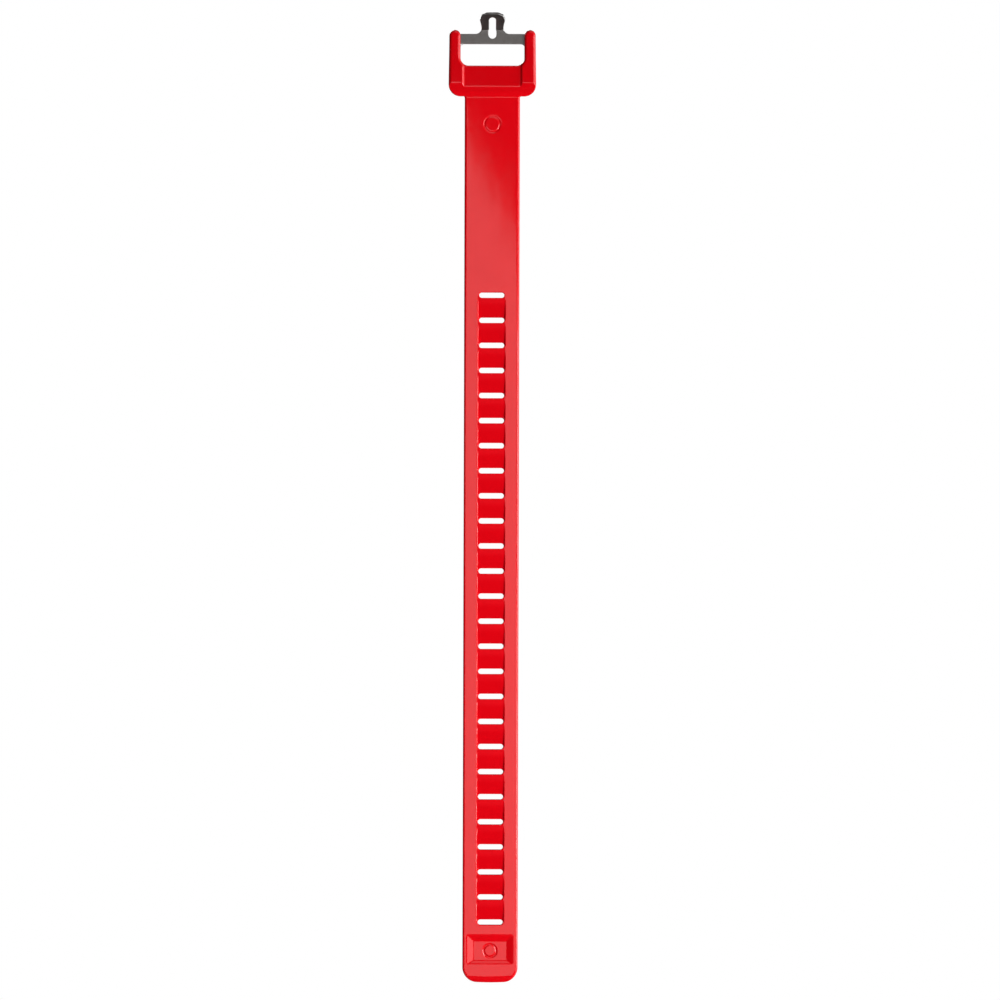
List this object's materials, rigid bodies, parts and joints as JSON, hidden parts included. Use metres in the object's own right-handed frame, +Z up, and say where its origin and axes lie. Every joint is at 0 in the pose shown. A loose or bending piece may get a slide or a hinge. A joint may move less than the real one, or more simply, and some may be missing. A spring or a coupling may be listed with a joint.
{
  "type": "ski strap",
  "caption": "Moulded elastomer ski strap with a fork-shaped head, a bent steel tongue plate, a row of cross slots and a sunk thumb pad at its tail.",
  "frame": {"origin": "middle of the tongue plate's lower edge, where a peg or hook through the window holds the strap", "axes": "+Z up along the band towards the tongue, +Y out of the strap's back, -Y out of its face, +X across the band"},
  "size_m": [0.0458, 0.0105, 0.507],
  "materials": {
    "red_elastomer": "smooth moulded gloss",
    "plate_steel": "stamped and tumbled"
  },
  "bodies": {
    "head": {"fork_head": "red_elastomer", "tongue_plate": "plate_steel"},
    "plain_1": {"plain_length_1": "red_elastomer"},
    "plain_2": {"plain_length_2": "red_elastomer"},
    "plain_3": {"plain_length_3": "red_elastomer"},
    "plain_4": {"plain_length_4": "red_elastomer"},
    "plain_5": {"plain_length_5": "red_elastomer"},
    "plain_6": {"plain_length_6": "red_elastomer"},
    "plain_7": {"plain_length_7": "red_elastomer"},
    "slotted_1": {"slotted_length_1": "red_elastomer"},
    "slotted_2": {"slotted_length_2": "red_elastomer"},
    "slotted_3": {"slotted_length_3": "red_elastomer"},
    "slotted_4": {"slotted_length_4": "red_elastomer"},
    "slotted_5": {"slotted_length_5": "red_elastomer"},
    "slotted_6": {"slotted_length_6": "red_elastomer"},
    "slotted_7": {"slotted_length_7": "red_elastomer"},
    "slotted_8": {"slotted_length_8": "red_elastomer"},
    "slotted_9": {"slotted_length_9": "red_elastomer"},
    "slotted_10": {"slotted_length_10": "red_elastomer"},
    "slotted_11": {"slotted_length_11": "red_elastomer"},
    "slotted_12": {"slotted_length_12": "red_elastomer"},
    "slotted_13": {"slotted_length_13": "red_elastomer"},
    "slotted_14": {"slotted_length_14": "red_elastomer"},
    "slotted_15": {"slotted_length_15": "red_elastomer"},
    "slotted_16": {"slotted_length_16": "red_elastomer"},
    "slotted_17": {"slotted_length_17": "red_elastomer"},
    "slotted_18": {"slotted_length_18": "red_elastomer"},
    "slotted_19": {"slotted_length_19": "red_elastomer"},
    "slotted_20": {"slotted_length_20": "red_elastomer"},
    "slotted_21": {"slotted_length_21": "red_elastomer"},
    "slotted_22": {"slotted_length_22": "red_elastomer"},
    "slotted_23": {"slotted_length_23": "red_elastomer"},
    "slotted_24": {"slotted_length_24": "red_elastomer"},
    "slotted_25": {"slotted_length_25": "red_elastomer"},
    "slotted_26": {"slotted_length_26": "red_elastomer"},
    "tail": {"tail_length": "red_elastomer"}
  },
  "joints": [
    {"name": "flex_01", "type": "hinge", "parent": "head", "child": "plain_1", "pos_m": [0, 0.00175, -0.0352], "axis": [1, 0, 0], "range_deg": [-4, 4], "stiffness_Nm_per_rad": 0.09},
    {"name": "flex_02", "type": "hinge", "parent": "plain_1", "child": "plain_2", "pos_m": [0, 0.00175, -0.04799], "axis": [1, 0, 0], "range_deg": [-4.5, 4.5], "stiffness_Nm_per_rad": 0.09},
    {"name": "flex_03", "type": "hinge", "parent": "plain_2", "child": "plain_3", "pos_m": [0, 0.00175, -0.06078], "axis": [1, 0, 0], "range_deg": [-5, 5], "stiffness_Nm_per_rad": 0.09},
    {"name": "flex_04", "type": "hinge", "parent": "plain_3", "child": "plain_4", "pos_m": [0, 0.00175, -0.07357], "axis": [1, 0, 0], "range_deg": [-5.5, 5.5], "stiffness_Nm_per_rad": 0.09},
    {"name": "flex_05", "type": "hinge", "parent": "plain_4", "child": "plain_5", "pos_m": [0, 0.00175, -0.08636], "axis": [1, 0, 0], "range_deg": [-6, 6], "stiffness_Nm_per_rad": 0.09},
    {"name": "flex_06", "type": "hinge", "parent": "plain_5", "child": "plain_6", "pos_m": [0, 0.00175, -0.09915], "axis": [1, 0, 0], "range_deg": [-7, 7], "stiffness_Nm_per_rad": 0.09},
    {"name": "flex_07", "type": "hinge", "parent": "plain_6", "child": "plain_7", "pos_m": [0, 0.00175, -0.11194], "axis": [1, 0, 0], "range_deg": [-8, 8], "stiffness_Nm_per_rad": 0.09},
    {"name": "flex_08", "type": "hinge", "parent": "plain_7", "child": "slotted_1", "pos_m": [0, 0.00175, -0.12473], "axis": [1, 0, 0], "range_deg": [-8.5, 8.5], "stiffness_Nm_per_rad": 0.09},
    {"name": "flex_09", "type": "hinge", "parent": "slotted_1", "child": "slotted_2", "pos_m": [0, 0.00175, -0.13786], "axis": [1, 0, 0], "range_deg": [-9, 9], "stiffness_Nm_per_rad": 0.09},
    {"name": "flex_10", "type": "hinge", "parent": "slotted_2", "child": "slotted_3", "pos_m": [0, 0.00175, -0.15099], "axis": [1, 0, 0], "range_deg": [-9.5, 9.5], "stiffness_Nm_per_rad": 0.09},
    {"name": "flex_11", "type": "hinge", "parent": "slotted_3", "child": "slotted_4", "pos_m": [0, 0.00175, -0.16412], "axis": [1, 0, 0], "range_deg": [-10, 10], "stiffness_Nm_per_rad": 0.09},
    {"name": "flex_12", "type": "hinge", "parent": "slotted_4", "child": "slotted_5", "pos_m": [0, 0.00175, -0.17725], "axis": [1, 0, 0], "range_deg": [-10.5, 10.5], "stiffness_Nm_per_rad": 0.09},
    {"name": "flex_13", "type": "hinge", "parent": "slotted_5", "child": "slotted_6", "pos_m": [0, 0.00175, -0.19038], "axis": [1, 0, 0], "range_deg": [-11, 11], "stiffness_Nm_per_rad": 0.09},
    {"name": "flex_14", "type": "hinge", "parent": "slotted_6", "child": "slotted_7", "pos_m": [0, 0.00175, -0.20352], "axis": [1, 0, 0], "range_deg": [-11.5, 11.5], "stiffness_Nm_per_rad": 0.09},
    {"name": "flex_15", "type": "hinge", "parent": "slotted_7", "child": "slotted_8", "pos_m": [0, 0.00175, -0.21665], "axis": [1, 0, 0], "range_deg": [-12, 12], "stiffness_Nm_per_rad": 0.09},
    {"name": "flex_16", "type": "hinge", "parent": "slotted_8", "child": "slotted_9", "pos_m": [0, 0.00175, -0.22978], "axis": [1, 0, 0], "range_deg": [-12, 12], "stiffness_Nm_per_rad": 0.09},
    {"name": "flex_17", "type": "hinge", "parent": "slotted_9", "child": "slotted_10", "pos_m": [0, 0.00175, -0.24291], "axis": [1, 0, 0], "range_deg": [-12.5, 12.5], "stiffness_Nm_per_rad": 0.09},
    {"name": "flex_18", "type": "hinge", "parent": "slotted_10", "child": "slotted_11", "pos_m": [0, 0.00175, -0.25604], "axis": [1, 0, 0], "range_deg": [-12.5, 12.5], "stiffness_Nm_per_rad": 0.09},
    {"name": "flex_19", "type": "hinge", "parent": "slotted_11", "child": "slotted_12", "pos_m": [0, 0.00175, -0.26916], "axis": [1, 0, 0], "range_deg": [-12.5, 12.5], "stiffness_Nm_per_rad": 0.09},
    {"name": "flex_20", "type": "hinge", "parent": "slotted_12", "child": "slotted_13", "pos_m": [0, 0.00175, -0.2823], "axis": [1, 0, 0], "range_deg": [-12, 12], "stiffness_Nm_per_rad": 0.09},
    {"name": "flex_21", "type": "hinge", "parent": "slotted_13", "child": "slotted_14", "pos_m": [0, 0.00175, -0.29542], "axis": [1, 0, 0], "range_deg": [-11.5, 11.5], "stiffness_Nm_per_rad": 0.09},
    {"name": "flex_22", "type": "hinge", "parent": "slotted_14", "child": "slotted_15", "pos_m": [0, 0.00175, -0.30856], "axis": [1, 0, 0], "range_deg": [-11, 11], "stiffness_Nm_per_rad": 0.09},
    {"name": "flex_23", "type": "hinge", "parent": "slotted_15", "child": "slotted_16", "pos_m": [0, 0.00175, -0.32168], "axis": [1, 0, 0], "range_deg": [-10, 10], "stiffness_Nm_per_rad": 0.09},
    {"name": "flex_24", "type": "hinge", "parent": "slotted_16", "child": "slotted_17", "pos_m": [0, 0.00175, -0.33481], "axis": [1, 0, 0], "range_deg": [-9.5, 9.5], "stiffness_Nm_per_rad": 0.09},
    {"name": "flex_25", "type": "hinge", "parent": "slotted_17", "child": "slotted_18", "pos_m": [0, 0.00175, -0.34795], "axis": [1, 0, 0], "range_deg": [-8.5, 8.5], "stiffness_Nm_per_rad": 0.09},
    {"name": "flex_26", "type": "hinge", "parent": "slotted_18", "child": "slotted_19", "pos_m": [0, 0.00175, -0.36107], "axis": [1, 0, 0], "range_deg": [-8, 8], "stiffness_Nm_per_rad": 0.09},
    {"name": "flex_27", "type": "hinge", "parent": "slotted_19", "child": "slotted_20", "pos_m": [0, 0.00175, -0.37421], "axis": [1, 0, 0], "range_deg": [-7, 7], "stiffness_Nm_per_rad": 0.09},
    {"name": "flex_28", "type": "hinge", "parent": "slotted_20", "child": "slotted_21", "pos_m": [0, 0.00175, -0.38733], "axis": [1, 0, 0], "range_deg": [-6.5, 6.5], "stiffness_Nm_per_rad": 0.09},
    {"name": "flex_29", "type": "hinge", "parent": "slotted_21", "child": "slotted_22", "pos_m": [0, 0.00175, -0.40047], "axis": [1, 0, 0], "range_deg": [-5.5, 5.5], "stiffness_Nm_per_rad": 0.09},
    {"name": "flex_30", "type": "hinge", "parent": "slotted_22", "child": "slotted_23", "pos_m": [0, 0.00175, -0.41359], "axis": [1, 0, 0], "range_deg": [-5, 5], "stiffness_Nm_per_rad": 0.09},
    {"name": "flex_31", "type": "hinge", "parent": "slotted_23", "child": "slotted_24", "pos_m": [0, 0.00175, -0.42673], "axis": [1, 0, 0], "range_deg": [-4.5, 4.5], "stiffness_Nm_per_rad": 0.09},
    {"name": "flex_32", "type": "hinge", "parent": "slotted_24", "child": "slotted_25", "pos_m": [0, 0.00175, -0.43985], "axis": [1, 0, 0], "range_deg": [-4, 4], "stiffness_Nm_per_rad": 0.09},
    {"name": "flex_33", "type": "hinge", "parent": "slotted_25", "child": "slotted_26", "pos_m": [0, 0.00175, -0.45299], "axis": [1, 0, 0], "range_deg": [-3.5, 3.5], "stiffness_Nm_per_rad": 0.09},
    {"name": "flex_34", "type": "hinge", "parent": "slotted_26", "child": "tail", "pos_m": [0, 0.00175, -0.46395], "axis": [1, 0, 0], "range_deg": [-3, 3], "stiffness_Nm_per_rad": 0.09}
  ]
}
